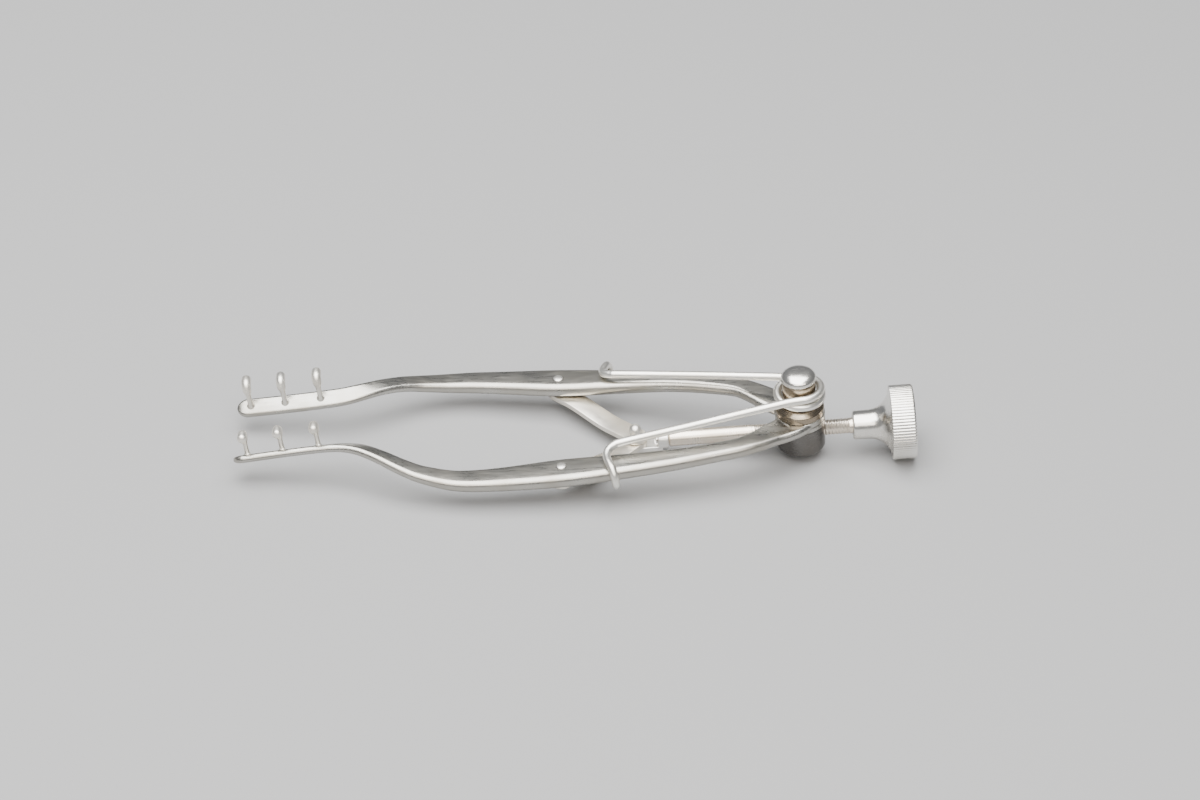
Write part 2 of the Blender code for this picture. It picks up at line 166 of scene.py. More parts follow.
# One arm along X: the top face's distance from the middle plane and height over the screw,
# the arm's width and thickness, and how much of the bar's tilt it has
ARM_Y = ((1.2, 0.95), (-1.0, 2.0), (-3.5, 3.5), (-5.0, 4.6), (-6.9, 5.7), (-9.2, 6.4),
         (-15.1, 7.6), (-23.3, 8.4), (-28.1, 8.75), (-35.0, 9.35), (-40.0, 9.5), (-44.3, 8.8),
         (-46.7, 7.95), (-49.0, 6.7), (-51.3, 5.45), (-53.5, 4.72), (-56.1, 4.5), (-60.3, 4.5),
         (-66.3, 4.67))
ARM_RISE = ((-1.0, 2.65), (-2.9, 2.65), (-4.5, 2.88), (-6.9, 3.20), (-15.1, 3.50),
            (-28.1, 3.62), (-40.0, 4.0), (-44.3, 4.70), (-46.7, 5.40), (-49.0, 6.02),
            (-51.3, 6.32), (-53.5, 6.27), (-56.1, 6.12), (-66.3, 5.50))
ARM_WIDTH = ((1.2, 2.9), (-1.0, 4.0), (-3.5, 3.5), (-5.0, 3.1), (-6.9, 2.7), (-11.6, 2.7),
             (-15.1, 2.95), (-20.9, 3.5), (-28.1, 4.05), (-35.0, 3.4), (-40.0, 2.95),
             (-44.3, 2.5), (-49.0, 2.15), (-53.5, 2.2), (-66.3, 2.2))
ARM_THICK = ((-1.0, 1.28), (-4.0, 1.30), (-9.0, 1.60), (-28.1, 1.75), (-40.0, 1.50),
             (-46.7, 1.20), (-51.3, 0.98), (-54.0, 0.92), (-66.3, 0.92))
ARM_TILT = ((-1.0, 0.0), (-42.0, 0.0), (-46.7, 0.15), (-51.3, 0.6), (-53.5, 0.85),
            (-56.0, 1.0), (-66.3, 1.0))
ARM_TIP_X = -66.3
ARM_ROOT_X = 1.2
ARM_STEPS = 150
EDGE_SHARE = 0.46
# The bars' noses: length, thickness left at the very end, how far it sinks as it thins
NOSE_RUN = 1.25
NOSE_THIN = 0.30
NOSE_DROP = 0.40


# ---------------------------------------------------------------- curves

def smooth(table, x):
    """Value at x of a smooth curve through a table of (x, value)."""
    points = sorted(table)
    if x <= points[0][0]:
        return points[0][1]
    if x >= points[-1][0]:
        return points[-1][1]
    slopes = []
    for i in range(len(points)):
        before = points[max(i - 1, 0)]
        after = points[min(i + 1, len(points) - 1)]
        slopes.append((after[1] - before[1]) / (after[0] - before[0]))
    i = next(k for k in range(len(points) - 1) if x <= points[k + 1][0])
    (x0, v0), (x1, v1) = points[i], points[i + 1]
    span = x1 - x0
    s = (x - x0) / span
    bend = s * (1 - s) * (slopes[i] * span * (1 - s) - slopes[i + 1] * span * s)
    return v0 + (v1 - v0) * s * s * (3 - 2 * s) + bend


def spline(points, steps):
    """Points on a smooth curve through the given points."""
    knots = [Vector(p) for p in points]
    result = []
    for i in range(len(knots) - 1):
        p0 = knots[max(i - 1, 0)]
        p1, p2 = knots[i], knots[i + 1]
        p3 = knots[min(i + 2, len(knots) - 1)]
        for k in range(steps):
            t = k / steps
            result.append(0.5 * ((2 * p1) + (p2 - p0) * t + (2 * p0 - 5 * p1 + 4 * p2 - p3) * t * t
                                 + (3 * p1 - p0 - 3 * p2 + p3) * t ** 3))
    result.append(knots[-1])
    return result


def fillet(points, radius, steps):
    """A polyline with its inner corners rounded; radius is one number or one for each corner."""
    points = [Vector(p) for p in points]
    rounded = [points[0]]
    for i in range(1, len(points) - 1):
        r = radius[i - 1] if isinstance(radius, (list, tuple)) else radius
        before, corner, after = points[i - 1], points[i], points[i + 1]
        into, away = corner - before, after - corner
        reach = min(r, into.length * 0.49, away.length * 0.49)
        start = corner - into.normalized() * reach
        end = corner + away.normalized() * reach
        for k in range(steps + 1):
            t = k / steps
            rounded.append(start.lerp(corner, t).lerp(corner.lerp(end, t), t))
    rounded.append(points[-1])
    return rounded


def profile_of(points, radius, steps=4):
    """A (position, radius) profile with its corners rounded."""
    return [(p.x, p.y) for p in fillet([(a, b, 0) for a, b in points], radius, steps)]


def add_dome(profile, base, top, radius, start=10, step=10, power=1.0):
    """Close a profile with a dome over its last radius."""
    for degrees in range(start, 91, step):
        a = math.radians(degrees)
        profile.append((base + (top - base) * math.sin(a), radius * math.cos(a) ** power))
    profile[-1] = (top, 0.0)


def oblong(half_u, edge_u, half_v, edge_v, step):
    """Points round an oblong with round corners, as (u, v)."""
    points = []
    for su, sv, start in ((1, 1, 0), (-1, 1, 90), (-1, -1, 180), (1, -1, 270)):
        for degrees in range(start, start + 91, step):
            a = math.radians(degrees)
            points.append((su * (half_u - edge_u) + edge_u * math.cos(a),
                           sv * (half_v - edge_v) + edge_v * math.sin(a)))
    return points


# ---------------------------------------------------------------- meshes

def shade(mesh, degrees):
    """Smooth shading, with the edges beyond an angle left sharp."""
    mesh.shade_smooth()
    mesh.set_sharp_from_angle(angle=math.radians(degrees))


def piece(name, bm, material, body, *nodes, angle=50):
    """Finish a mesh drawn in millimetres and hang it on a CAD body in place of CAD nodes."""
    bmesh.ops.remove_doubles(bm, verts=bm.verts, dist=1e-4)
    bmesh.ops.recalc_face_normals(bm, faces=bm.faces)
    bmesh.ops.scale(bm, vec=(MM, MM, MM), verts=bm.verts)
    mesh = bpy.data.meshes.new(name)
    bm.to_mesh(mesh)
    bm.free()
    shade(mesh, angle)
    obj = bpy.data.objects.new(name, mesh)
    bpy.context.scene.collection.objects.link(obj)
    mesh.materials.append(material)
    if body:
        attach(obj, body)
    if nodes:
        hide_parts(*nodes)
    return obj


def loft(rings):
    """A solid through rings of points that all hold the same number of points."""
    bm = bmesh.new()
    loops = [[bm.verts.new(Vector(p)) for p in ring] for ring in rings]
    count = len(loops[0])
    for lower, upper in zip(loops, loops[1:]):
        for i in range(count):
            j = (i + 1) % count
            bm.faces.new((lower[i], lower[j], upper[j], upper[i]))
    bm.faces.new(loops[0])
    bm.faces.new(loops[-1])
    return bm


def turned(profile, sides, along_x=False, centre=(0.0, 0.0), shape=None):
    """A turned solid from (position, radius) points, round Z or round X.

    A profile that starts and ends on the axis is closed; one that doesn't is closed by
    joining its last ring to its first, which makes a tube. centre places the axis.
    shape(angle, radius) may change the radius round the axis.
    """
    bm = bmesh.new()

    def vertex(place, u, v):
        across = (centre[0] + u, centre[1] + v)
        return bm.verts.new((place, *across) if along_x else (*across, place))

    rings = []
    for place, radius in profile:
        if radius < 1e-6:
            rings.append([vertex(place, 0.0, 0.0)])
            continue
        ring = []
        for i in range(sides):
            a = TURN * i / sides
            r = shape(a, radius) if shape else radius
            ring.append(vertex(place, r * math.cos(a), r * math.sin(a)))
        rings.append(ring)
    pairs = list(zip(rings, rings[1:]))
    if len(rings[0]) > 1 and len(rings[-1]) > 1:
        pairs.append((rings[-1], rings[0]))
    for lower, upper in pairs:
        for i in range(sides):
            j = (i + 1) % sides
            corners = (lower[i % len(lower)], lower[j % len(lower)],
                       upper[j % len(upper)], upper[i % len(upper)])
            corners = list(dict.fromkeys(corners))
            if len(corners) > 2:
                bm.faces.new(corners)
    return bm


def cylinder(low, high, radius, sides, **axis):
    """A plain cylinder between two places on its axis."""
    return turned(((low, 0), (low, radius), (high, radius), (high, 0)), sides, **axis)


def sweep_rings(path, radii, sides):
    """Rings of points round a path, without twist."""
    points = [Vector(p) for p in path]
    rings = []
    side = None
    for i, point in enumerate(points):
        ahead = points[min(i + 1, len(points) - 1)]
        behind = points[max(i - 1, 0)]
        tangent = (ahead - behind).normalized()
        if side is None:
            side = tangent.orthogonal().normalized()
        side = (side - tangent * side.dot(tangent)).normalized()
        other = tangent.cross(side)
        ring = []
        for k in range(sides):
            a = TURN * k / sides
            ring.append(point + (side * math.cos(a) + other * math.sin(a)) * radii[i])
        rings.append(ring)
    return rings


def sweep(path, radius, sides, dome):
    """A round wire along a path; its far end is domed, dome times its radius high."""
    path = [Vector(p) for p in path]
    radii = [radius] * len(path)
    end = path[-1]
    on = (end - path[-2]).normalized()
    for degrees in (20, 40, 58, 74, 86):
        a = math.radians(degrees)
        path.append(end + on * radius * dome * math.sin(a))
        radii.append(radius * math.cos(a))
    return loft(sweep_rings(path, radii, sides))


def cut(obj, *cutters):
    """Cut meshes out of an object and apply the result."""
    for bm in cutters:
        bmesh.ops.recalc_face_normals(bm, faces=bm.faces)
        bmesh.ops.scale(bm, vec=(MM, MM, MM), verts=bm.verts)
        mesh = bpy.data.meshes.new("cutter")
        bm.to_mesh(mesh)
        bm.free()
        tool = bpy.data.objects.new("cutter", mesh)
        bpy.context.scene.collection.objects.link(tool)
        combine(obj, tool, "DIFFERENCE")


def combine(obj, tool, operation):
    """Apply a Boolean with another object, which is then removed."""
    modifier = obj.modifiers.new("combine", "BOOLEAN")
    modifier.operation = operation
    modifier.solver = "EXACT"
    modifier.object = tool
    apply_modifiers(obj)
    bpy.data.objects.remove(tool, do_unlink=True)


def apply_modifiers(obj):
    """Bake the modifiers into the mesh."""
    graph = bpy.context.evaluated_depsgraph_get()
    baked = bpy.data.meshes.new_from_object(obj.evaluated_get(graph))
    obj.modifiers.clear()
    obj.data = baked


def soften(obj, width, angle):
    """Round every edge sharper than an angle."""
    modifier = obj.modifiers.new("soften", "BEVEL")
    modifier.width = width * MM
    modifier.segments = 3
    modifier.limit_method = "ANGLE"
    modifier.angle_limit = math.radians(angle)
    apply_modifiers(obj)
    shade(obj.data, 60)


# ---------------------------------------------------------------- materials

# Scales of the steels' surface noises, the stain's share of the colour, and what the
# scratches and marks do to roughness and height
CLOUD_SCALE = 260.0
MARK_SCALE = 700.0
HAIR_SCALE = (500, 4200, 4200)
STAIN = (0.86, 0.83, 0.78)
HAIR_ROUGHNESS = 0.05
MARK_ROUGHNESS = 0.04
HAIR_HEIGHT = -0.25
BUMP_DISTANCE = 0.00002


def steel(name, colour, roughness, grain, grain_depth, streak=0.04, haze=0.08):
    """Stainless steel with drawn grain, hair scratches, a faint haze and handling marks.

    grain is the noise's scale along X, Y and Z: a low number along the way that the metal
    was drawn, turned or brushed. streak and haze are what the grain and the haze add to the
    roughness.
    """
    material = bpy.data.materials.new(name)
    material.use_nodes = True
    nodes, links = material.node_tree.nodes, material.node_tree.links
    shader = nodes["Principled BSDF"]
    shader.inputs["Metallic"].default_value = 1.0
    place = nodes.new("ShaderNodeTexCoord").outputs["Object"]

    def noise(scale, detail, stretch=(1, 1, 1)):
        mapping = nodes.new("ShaderNodeMapping")
        mapping.inputs["Scale"].default_value = stretch
        links.new(place, mapping.inputs["Vector"])
        made = nodes.new("ShaderNodeTexNoise")
        made.inputs["Scale"].default_value = scale
        made.inputs["Detail"].default_value = detail
        links.new(mapping.outputs["Vector"], made.inputs["Vector"])
        return made.outputs["Fac"]

    def spread(value, start, end, low=0.0, high=1.0):
        made = nodes.new("ShaderNodeMapRange")
        made.inputs["From Min"].default_value = start
        made.inputs["From Max"].default_value = end
        made.inputs["To Min"].default_value = low
        made.inputs["To Max"].default_value = high
        links.new(value, made.inputs["Value"])
        return made.outputs["Result"]

    def add(value, share, base):
        made = nodes.new("ShaderNodeMath")
        made.operation = "MULTIPLY_ADD"
        made.inputs[1].default_value = share
        links.new(value, made.inputs[0])
        links.new(base, made.inputs[2])
        return made.outputs["Value"]

    lines = noise(10.0, 3.0, grain)
    cloud = spread(noise(CLOUD_SCALE, 4.0), 0.35, 0.75)
    hair = spread(noise(1.0, 2.0, HAIR_SCALE), 0.62, 0.72)
    marks = spread(noise(MARK_SCALE, 3.0), 0.60, 0.75)

    tint = nodes.new("ShaderNodeMix")
    tint.data_type = "RGBA"
    tint.inputs["A"].default_value = (*colour, 1.0)
    tint.inputs["B"].default_value = (*(c * share for c, share in zip(colour, STAIN)), 1.0)
    links.new(cloud, tint.inputs["Factor"])
    links.new(tint.outputs["Result"], shader.inputs["Base Color"])

    ground = spread(lines, 0.3, 0.7, roughness - streak, roughness + streak)
    hazy = add(hair, HAIR_ROUGHNESS, add(cloud, haze, ground))
    links.new(add(marks, MARK_ROUGHNESS, hazy), shader.inputs["Roughness"])

    bump = nodes.new("ShaderNodeBump")
    bump.inputs["Strength"].default_value = grain_depth
    bump.inputs["Distance"].default_value = BUMP_DISTANCE
    links.new(add(hair, HAIR_HEIGHT, lines), bump.inputs["Height"])
    links.new(bump.outputs["Normal"], shader.inputs["Normal"])
    return material


SATIN = steel("satin_steel", (0.47, 0.46, 0.43), 0.27, (40, 350, 350), 0.03,
              streak=0.05, haze=0.10)
PLATE = steel("link_steel", (0.86, 0.82, 0.74), 0.32, (60, 300, 300), 0.03,
              streak=0.05, haze=0.10)
POLISHED = steel("polished_steel", (0.82, 0.81, 0.78), 0.21, (120, 120, 120), 0.012,
                 streak=0.03)
HOOKS = steel("prong_steel", (0.93, 0.91, 0.86), 0.40, (150, 150, 150), 0.02)
HEADS = steel("rivet_steel", (0.90, 0.89, 0.86), 0.34, (150, 150, 150), 0.02)
WIRE = steel("spring_steel", (0.93, 0.92, 0.88), 0.34, (60, 60, 60), 0.03,
             streak=0.03, haze=0.05)
# Painted shade: the post's steel is made near black so that its barrel looks as dark as if it
# reflected a dark floor and its own shadow.
POST_PAINTED_SHADE = steel("post_steel_painted_shade", (0.15, 0.145, 0.14), 0.26, (60, 60, 1500), 0.15, streak=0.06)
WARM = steel("sleeve_steel", (0.31, 0.26, 0.20), 0.24, (60, 60, 1500), 0.15, streak=0.06)
ROD = steel("rod_steel", (0.91, 0.83, 0.73), 0.28, (900, 60, 60), 0.08, haze=0.05)


# ---------------------------------------------------------------- arms and prongs

def arm_frame(x, side):
    """Centre of the top face, outward direction and face normal of one arm at x."""
    step = 0.05
    drift = side * (smooth(ARM_Y, x - step) - smooth(ARM_Y, x + step))
    along = Vector((-2 * step, drift, 0)).normalized()
    out = Vector((along.y, -along.x, 0)) * side
    tilt = BAR_TILT * smooth(ARM_TILT, x)
    across = out * math.cos(tilt) + Vector((0, 0, math.sin(tilt)))
    normal = Vector((0, 0, math.cos(tilt))) - out * math.sin(tilt)
    top = Vector((x, side * smooth(ARM_Y, x), SCREW_Z + smooth(ARM_RISE, x)))
    return top, across, normal


def arm_ring(x, side, shrink=1.0):
    """Section of an arm: flat faces between broad round edges; shrink draws in the nose."""
    top, across, normal = arm_frame(x, side)
    half = smooth(ARM_WIDTH, x) / 2 * shrink
    full = smooth(ARM_THICK, x)
    thick = full * (NOSE_THIN + (1 - NOSE_THIN) * shrink)
    edge = min(EDGE_SHARE * thick, half * 0.8)
    middle = -thick / 2 - (full - thick) * NOSE_DROP
    return [top + across * u + normal * (v + middle)
            for u, v in oblong(half, edge, thick / 2, edge, 15)]


def arm_strip(side):
    """One arm from its root in the knuckle to the bar's nose."""
    nose = ARM_TIP_X + NOSE_RUN
    rings = [arm_ring(ARM_ROOT_X + (nose - ARM_ROOT_X) * i / ARM_STEPS, side)
             for i in range(ARM_STEPS + 1)]
    for degrees in (12, 24, 36, 48, 60, 70, 79, 86):
        a = math.radians(degrees)
        rings.append(arm_ring(nose - NOSE_RUN * math.sin(a), side, math.cos(a)))
    return loft(rings)


def make_arm(side):
    """An arm with its half of the lapped knuckle, and the holes for the spindle and rivet."""
    node = WORD[side] + "_arm"
    upper = side < 0
    low, high = (LAP_Z + GAP / 2, ARM_TOP) if upper else (BARREL_TOP + GAP, LAP_Z - GAP / 2)
    arm = piece(node + "_forged", arm_strip(side), SATIN, None)
    relief_low, relief_high = (0.0, low) if upper else (high, ARM_TOP + 3)
    cut(arm, cylinder(relief_low, relief_high, KNUCKLE_R + KNUCKLE_RELIEF, ROUND))
    outline = [(low, 0), (low, KNUCKLE_R), (high, KNUCKLE_R), (high, 0)]
    disc = piece("disc", turned(profile_of(outline, KNUCKLE_EDGE), ROUND), SATIN, None)
    combine(arm, disc, "UNION")
    cut(arm, cylinder(-1, ARM_TOP + 2, SPINDLE_R + GAP, BORE))
    cut(arm, cylinder(0, 12, EYE_R, HOLE, centre=RIVET[side].xy))
    shade(arm.data, 38)
    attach(arm, node)
    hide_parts(node)


def make_prong(side, number):
    """A blunt hook on its brazed foot: a stem, a bend outwards and a thicker rounded end."""
    word = WORD[side]
    top, _, normal = arm_frame(PRONG_X[number - 1], side)
    out = Vector((0, side, 0))
    path = [top - normal * FOOT_DEPTH]
    radii = [STEM_R]
    reached = path[0]
    before = -FOOT_DEPTH
    for up, r in BRAZED_FOOT:
        turn = min(max(up / FOOT_TURN, 0.0), 1.0)
        heading = normal.lerp(PRONG_LEAN, turn * turn * (3 - 2 * turn)).normalized()
        reached = reached + heading * (up - before)
        before = up
        path.append(reached)
        radii.append(r)
    shift = top + PRONG_LEAN * before - reached
    path = [point + shift for point in path]
    start = top + PRONG_LEAN * (PRONG_RISE - PRONG_BEND)
    for k in range(0, 91, 10):
        a = math.radians(k)
        path.append(start + PRONG_LEAN * PRONG_BEND * math.sin(a)
                    + out * PRONG_BEND * (1 - math.cos(a)))
        radii.append(smooth(HOOK_R, k))
    end = path[-1] + out * (PRONG_REACH - PRONG_BEND)
    path.append(end)
    radii.append(BLUNT_R)
    for k in (15, 30, 45, 58, 70, 80, 87):
        a = math.radians(k)
        path.append(end + out * BLUNT_R * 0.75 * math.sin(a))
        radii.append(BLUNT_R * math.cos(a))
    prong = piece(f"{word}_prong_hook_{number}", loft(sweep_rings(path, radii, PRONG_SIDES)),
                  HOOKS, word + "_arm", f"{word}_prong_{number}")


# ---------------------------------------------------------------- spring

# Points on the wire as (x, distance from the middle plane, height over the screw)
LEG_TOP = ((-1.00, 2.66, 6.12), (-6.0, 3.57, 5.78), (-13.0, 4.85, 5.30), (-20.6, 6.2, 4.82),
           (-22.0, 6.6, 4.66))
LEG_LOW = ((-1.60, 3.62, 5.10), (-6.0, 4.40, 5.05), (-13.0, 5.62, 4.92), (-20.6, 6.95, 4.72),
           (-21.9, 7.25, 4.62))
HOOK = {-1: ((-22.75, 7.3, 4.42), (-22.9, 8.2, 4.24)),
        1: ((-22.7, 7.8, 4.42), (-22.9, 8.5, 4.24))}
HOOK_END = ((-22.7, 9.2, 4.17), (-22.4, 10.0, 3.98), (-22.2, 10.55, 3.45),
            (-22.1, 10.75, 2.85), (-22.05, 10.65, 2.2), (-22.05, 10.25, 1.62),
            (-22.1, 9.6, 1.33))
# The winding by its angle: height over the screw, and what is added to its radius
COIL_RISE = ((-90, 6.15), (0, 5.98), (90, 5.70), (180, 5.42), (270, 5.05), (360, 4.80),
             (450, 5.05))
COIL_SPREAD = ((-90, 0.05), (340, 0.05), (390, 0.35), (450, 1.05))
COIL_MIDDLE = 176
COIL_STOP = {-1: -81, 1: 433}
COIL_STEP = 8


def coil_point(angle):
    """A point on the winding: 0 at the rear, 90 behind, 180 towards the prongs, 270 in front."""
    a = math.radians(angle)
    radius = COIL_R + smooth(COIL_SPREAD, angle)
    return Vector((radius * math.cos(a), radius * math.sin(a), SCREW_Z + smooth(COIL_RISE, angle)))


def leg_points(side):
    points = (LEG_TOP if side < 0 else LEG_LOW) + HOOK[side] + HOOK_END
    return [Vector((x, side * y, SCREW_Z + z)) for x, y, z in points]


def make_spring(side):
    """One half of the wire: from the middle of the winding to the hook round its arm."""
    word = WORD[side]
    winding = [coil_point(angle)
               for angle in range(COIL_MIDDLE, COIL_STOP[side], side * COIL_STEP)]
    path = winding + spline(leg_points(side), 8)[1:]
    spring = piece(word + "_spring_wire", sweep(path, WIRE_R, WIRE_SIDES, 0.7), WIRE, None)
    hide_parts(word + "_spring_leg", *(["spring_coil"] if side < 0 else []))
    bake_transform(spring)


# ---------------------------------------------------------------- post, sleeve and cap

def make_post():
    top = high_mm("post").z
    points = [(0.0, 0.0), (0.0, POST_R), (BARREL_TOP, POST_R), (BARREL_TOP, SPINDLE_R),
              (top, SPINDLE_R), (top, 0.0)]
    profile = profile_of(points, [0.30, 0.12, 0.04, 0.10], 5)
    # The barrel takes the near-black steel, which is painted shade rather than the steel's own
    # colour.
    post = piece("post_turned", turned(profile, FINE), POST_PAINTED_SHADE, None)
    cut(post, cylinder(-4, 4, THREAD_BORE_R, BORE, **ON_SCREW))
    soften(post, 0.10, 50)
    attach(post, "post")
    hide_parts("post")


def make_sleeve():
    """Straight sleeve under the cap, on a flange that slopes out to the post's width."""
    low = ARM_TOP + GAP
    inner = SPINDLE_R + SLEEVE_FIT
    points = [(low, inner), (low, POST_R), (FLANGE_TOP - 0.55, POST_R),
              (FLANGE_TOP, SLEEVE_R + 0.35), (FLANGE_TOP, SLEEVE_R), (SLEEVE_TOP, SLEEVE_R),
              (SLEEVE_TOP, inner)]
    profile = profile_of(points, [0.08, 0.12, 0.10, 0.10, 0.10])
    sleeve = piece("spring_sleeve_turned", turned(profile, FINE), WARM, "post", "spring_sleeve")


def make_cap():
    """Button head: a short upright side, a bold shoulder and a shallow dome."""
    low, top = low_mm("cap_screw").z, high_mm("cap_screw").z
    base = SLEEVE_TOP + CAP_LIFT
    side_top = base + CAP_SIDE
    shoulder = side_top + 0.02
    points = [(low, 0.0), (low, CAP_SHANK_R), (base, CAP_SHANK_R), (base, CAP_R - CAP_CHAMFER),
              (base + CAP_CHAMFER, CAP_R), (side_top, CAP_R), (shoulder, CAP_R - 0.001)]
    profile = profile_of(points, [0.10, 0.05, 0.10, 0.10, 0.10])
    add_dome(profile, shoulder, top, CAP_R, start=8, step=6, power=CAP_DOME_POWER)
    cap = piece("cap_screw_turned", turned(profile, ROUND), POLISHED, "post", "cap_screw")


# ---------------------------------------------------------------- links, rivets and toggle

def make_link(side):
    """A flat link from the arm's rivet to the toggle pin, stepped down to its eye's height."""
    node = WORD[side] + "_link"
    arm_end = Vector((RIVET[side].x, RIVET[side].y, 0))
    reach = Vector((PIN.x, 0, 0)) - arm_end
    length = reach.length
    along = reach.normalized()
    across = Vector((along.y, -along.x, 0))
    half = LINK_W / 2
    stations = [(-half * math.sin(math.radians(a)), half * math.cos(math.radians(a)))
                for a in range(88, 0, -8)]
    stations += [(length * k / 40, half) for k in range(41)]
    stations += [(length + half * math.sin(math.radians(a)), half * math.cos(math.radians(a)))
                 for a in range(8, 89, 8)]
    rings = []
    for run, wide in stations:
        s = min(max((run - 1.8) / (length - 5.2), 0), 1)
        top = LINK_ARM_Z + (EYE_Z[side] - LINK_ARM_Z) * s * s * (3 - 2 * s)
        middle = arm_end + along * run
        soft = min(LINK_BEAD, wide * 0.5)
        rings.append([middle + across * u + Vector((0, 0, v + top - LINK_T / 2))
                      for u, v in oblong(wide, soft, LINK_T / 2, LINK_BEAD, 30)])
    link = piece(node + "_plate", loft(rings), PLATE, None)
    for centre in (RIVET[side].xy, (PIN.x, 0.0)):
        cut(link, cylinder(-2, 12, EYE_R, SMALL, centre=centre))
    shade(link.data, 40)
    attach(link, node)
    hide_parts(node)


def make_rivet(side):
    """A rivet through arm and link, domed above the arm."""
    word = WORD[side]
    centre = RIVET[side]
    low, high = low_mm(word + "_link_rivet").z, high_mm(word + "_link_rivet").z
    face = SCREW_Z + smooth(ARM_RISE, centre.x) + RIVET_LIFT
    under = LINK_ARM_Z - LINK_T - GAP
    points = [(low, 0.0), (low, 0.55), (under, 0.88), (under, PIN_R), (face, PIN_R)]
    profile = profile_of(points, [0.15, 0.10, 0.02])
    add_dome(profile, face, high, PIN_R)
    rivet = piece(word + "_rivet_domed", turned(profile, SMALL, centre=centre.xy), HEADS,
                  word + "_arm", word + "_link_rivet")


def make_toggle_block():
    """The block that the screw pushes, with its slotted wall and the tongue under the links."""
    low, high = low_mm("toggle_block"), high_mm("toggle_block")
    wall = high.x - SWIVEL_WALL
    radius = high.z - SCREW_Z
    points = [(wall, 0.0), (wall, radius), (high.x, radius), (high.x, 0.0)]
    block = piece("toggle_block_milled", turned(profile_of(points, 0.12), BORE, **ON_SCREW),
                  HEADS, None)
    half = TONGUE_W / 2
    outline = [(wall + 0.5, -half), (wall + 0.5, half)]
    for degrees in range(90, 271, 10):
        a = math.radians(degrees)
        outline.append((PIN.x + half * math.cos(a), half * math.sin(a)))
    levels = (low.z, EYE_Z[-1] - LINK_T - GAP)
    tongue = piece("tongue", loft([[(x, y, z) for x, y in outline] for z in levels]), HEADS,
                   None)
    soften(tongue, 0.08, 60)
    combine(block, tongue, "UNION")
    cut(block, cylinder(wall - 1, high.x + 1, JOURNAL_R + GAP, TINY, **ON_SCREW),
        cylinder(wall - SWIVEL_SLOT, wall, SWIVEL_SLOT_R, SMALL, **ON_SCREW),
        cylinder(-4, 6, WAIST_R + GAP, TINY, centre=(PIN.x, 0.0)))
    shade(block.data, 40)
    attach(block, "carriage")
    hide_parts("toggle_block")


def make_toggle_pin():
    """The domed pin through the block, with a waist inside the links' eyes."""
    foot, crown = low_mm("toggle_pin").z, high_mm("toggle_pin").z
    under = low_mm("toggle_block").z - GAP
    head = EYE_Z[1] + GAP
    side_top = head + PIN_SIDE
    points = [(foot, 0.0), (foot, PIN_R), (under, 0.70), (under, WAIST_R), (head, WAIST_R),
              (head, PIN_HEAD_R), (side_top, PIN_HEAD_R)]
    profile = profile_of(points, [0.12, 0.10, 0.02, 0.02, 0.10])
    add_dome(profile, side_top, crown, PIN_HEAD_R)
    pin = piece("toggle_pin_domed", turned(profile, SMALL, centre=(PIN.x, 0.0)), HEADS,
                "carriage", "toggle_pin")


def make_washer():
    """The ring riveted on the screw's end, which keeps it in the block."""
    near, far = low_mm("rod_end_ring").x, high_mm("rod_end_ring").x
    inner = JOURNAL_R + 0.02
    points = [(near, inner), (near, WASHER_R), (far, WASHER_R), (far, inner)]
    ring = piece("rod_end_washer", turned(profile_of(points, 0.06, 3), SMALL, **ON_SCREW),
                 POLISHED, "screw", "rod_end_ring")


# ---------------------------------------------------------------- screw and wheel

def make_rod():
    """The rod: smooth journal and push end, thread from the middle to the wheel's hub."""
    low, high = low_mm("screw_rod").x, high_mm("screw_rod").x
    stations = [(low, 0.30), (low + 0.12, 0.42), (low + 0.25, JOURNAL_R),
                (SWIVEL_X - 0.02, JOURNAL_R), (SWIVEL_X, 0.55),
                (SWIVEL_X + 0.02, ROD_R - 0.15), (SWIVEL_X + 0.17, ROD_R)]
    rings = [[station] * SMALL for station in stations]
    x = THREAD_FROM
    while x <= THREAD_TO:
        fade = (min(max((x - THREAD_FROM) / 0.8, 0), 1)
                * min(max((THREAD_TO - x) / 0.3, 0), 1))
        ring = []
        for i in range(SMALL):
            phase = (x / THREAD_PITCH - i / SMALL) % 1.0
            crest = abs(2 * phase - 1)
            ring.append((x, ROD_R - THREAD_DEPTH * fade * (1 - crest)))
        rings.append(ring)
        x += THREAD_PITCH / 8
    rings += [[station] * SMALL for station in ((high - 0.1, ROD_R), (high, ROD_R - 0.1))]
    placed = [[(place, radius * math.cos(TURN * i / SMALL),
                SCREW_Z + radius * math.sin(TURN * i / SMALL))
               for i, (place, radius) in enumerate(ring)] for ring in rings]
    rod = piece("screw_rod_threaded", loft(placed), ROD, "screw", "screw_rod", angle=30)


def make_wheel():
    """Flared hub and a knurled rim with fine axial ribs."""
    low, high = low_mm("thumb_wheel").x, high_mm("thumb_wheel").x
    bore = ROD_R + 0.02
    points = [(low, bore), (low, 1.70), (low + 2.4, 1.76), (low + 3.2, 2.05),
              (low + 3.8, 2.55), (low + 4.25, 3.20), (WHEEL_X, 3.65), (WHEEL_X, WHEEL_R),
              (high, WHEEL_R), (high, FACE_RECESS_R + 0.3),
              (high - FACE_RECESS, FACE_RECESS_R), (high - FACE_RECESS, 0.0)]
    radii = [0.35, 0.6, 0.5, 0.4, 0.3, 0.15, 0.16, 0.36, 0.15, 0.1]
    inside = [(low + 3.2, 0.0), (low + 3.2, bore)]

    def knurl(angle, radius):
        edge = min(max((radius - WHEEL_R + 0.30) / 0.28, 0.0), 1.0)
        wave = abs(math.sin(angle * KNURL_RIBS / 2))
        return radius - KNURL_DEPTH * edge * (1 - wave ** 0.7)

    mesh = turned(inside + profile_of(points, radii, 6), KNURL_RIBS * 8, shape=knurl, **ON_SCREW)
    wheel = piece("thumb_wheel_knurled", mesh, POLISHED, "screw", "thumb_wheel", angle=35)


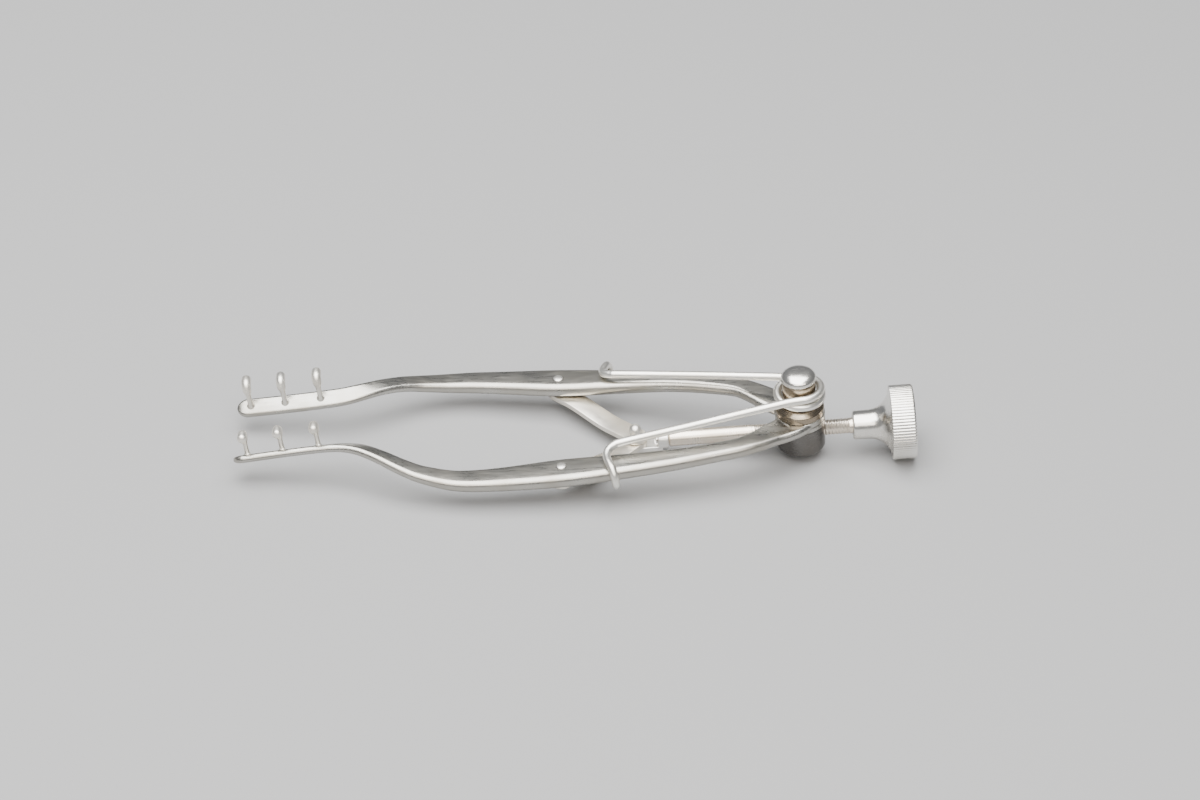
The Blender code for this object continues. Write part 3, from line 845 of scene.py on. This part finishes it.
for side in SIDES:
    make_arm(side)
    for number in (1, 2, 3):
        make_prong(side, number)
    make_spring(side)
    make_link(side)
    make_rivet(side)
make_post()
make_sleeve()
make_cap()
make_rod()
make_wheel()
make_toggle_block()
make_toggle_pin()
make_washer()


# ---------------------------------------------------------------- floor, light and camera

# The instrument lies on its wheel's rim and its toggle pin's foot, its post just clear of the floor
WHEEL_REST = Vector((WHEEL_X + 0.10, 0, low_mm("thumb_wheel").z))
PIN_REST = Vector((PIN.x - 0.50, 0, low_mm("toggle_pin").z))
FLOOR_SIZE = 2.0
slope = math.atan2(PIN_REST.z - WHEEL_REST.z, WHEEL_REST.x - PIN_REST.x)
floor_mesh = bpy.data.meshes.new("floor")
floor_bm = bmesh.new()
bmesh.ops.create_grid(floor_bm, x_segments=1, y_segments=1, size=FLOOR_SIZE)
floor_bm.to_mesh(floor_mesh)
floor_bm.free()
floor = bpy.data.objects.new("floor", floor_mesh)
bpy.context.scene.collection.objects.link(floor)
floor.matrix_world = Matrix.Translation(WHEEL_REST * MM) @ Matrix.Rotation(slope, 4, "Y")
paper = bpy.data.materials.new("floor")
paper.use_nodes = True
paper_inputs = paper.node_tree.nodes["Principled BSDF"].inputs
paper_inputs["Base Color"].default_value = (0.315, 0.317, 0.323, 1)
paper_inputs["Roughness"].default_value = 0.8
floor_mesh.materials.append(paper)

world = bpy.data.worlds.new("studio")
bpy.context.scene.world = world
world.use_nodes = True
background = world.node_tree.nodes["Background"].inputs
background["Color"].default_value = (0.80, 0.82, 0.85, 1)
background["Strength"].default_value = 0.28


def add_light(name, place, target, size, power, colour):
    light = bpy.data.lights.new(name, "AREA")
    light.shape = "RECTANGLE"
    light.size, light.size_y = size
    light.energy = power
    light.color = colour
    obj = bpy.data.objects.new(name, light)
    bpy.context.scene.collection.objects.link(obj)
    obj.location = place
    obj.rotation_mode = "QUATERNION"
    obj.rotation_quaternion = (Vector(target) - Vector(place)).to_track_quat("-Z", "Y")


LIT = (-0.03, 0, 0)
add_light("overhead", (-0.04, -0.03, 0.42), LIT, (0.46, 0.52), 7.0, (1.0, 0.995, 0.98))
add_light("front", (0.03, -0.52, 0.46), LIT, (0.80, 0.30), 3.7, (1.0, 0.94, 0.86))

# The camera looks at AIM from DISTANCE away, azimuth from the front and roll about its axis
ELEVATION, AZIMUTH, ROLL = math.radians(36.9), math.radians(1.15), math.radians(4.8)
DISTANCE = 437
AIM = Vector((-23.3, 0, 8.42))
away = Vector((math.sin(AZIMUTH) * math.cos(ELEVATION),
               -math.cos(AZIMUTH) * math.cos(ELEVATION), math.sin(ELEVATION)))
level = Vector((math.cos(AZIMUTH), math.sin(AZIMUTH), 0))
upright = away.cross(level)
right = level * math.cos(ROLL) - upright * math.sin(ROLL)
up = upright * math.cos(ROLL) + level * math.sin(ROLL)
camera = bpy.data.objects.new("camera", bpy.data.cameras.new("camera"))
bpy.context.scene.collection.objects.link(camera)
camera.data.lens = 112
camera.data.sensor_width = 36
camera.data.clip_start, camera.data.clip_end = 0.01, 10
turn = Matrix((right, up, away)).transposed().to_4x4()
camera.matrix_world = Matrix.Translation((AIM + away * DISTANCE) * MM) @ turn
bpy.context.scene.camera = camera
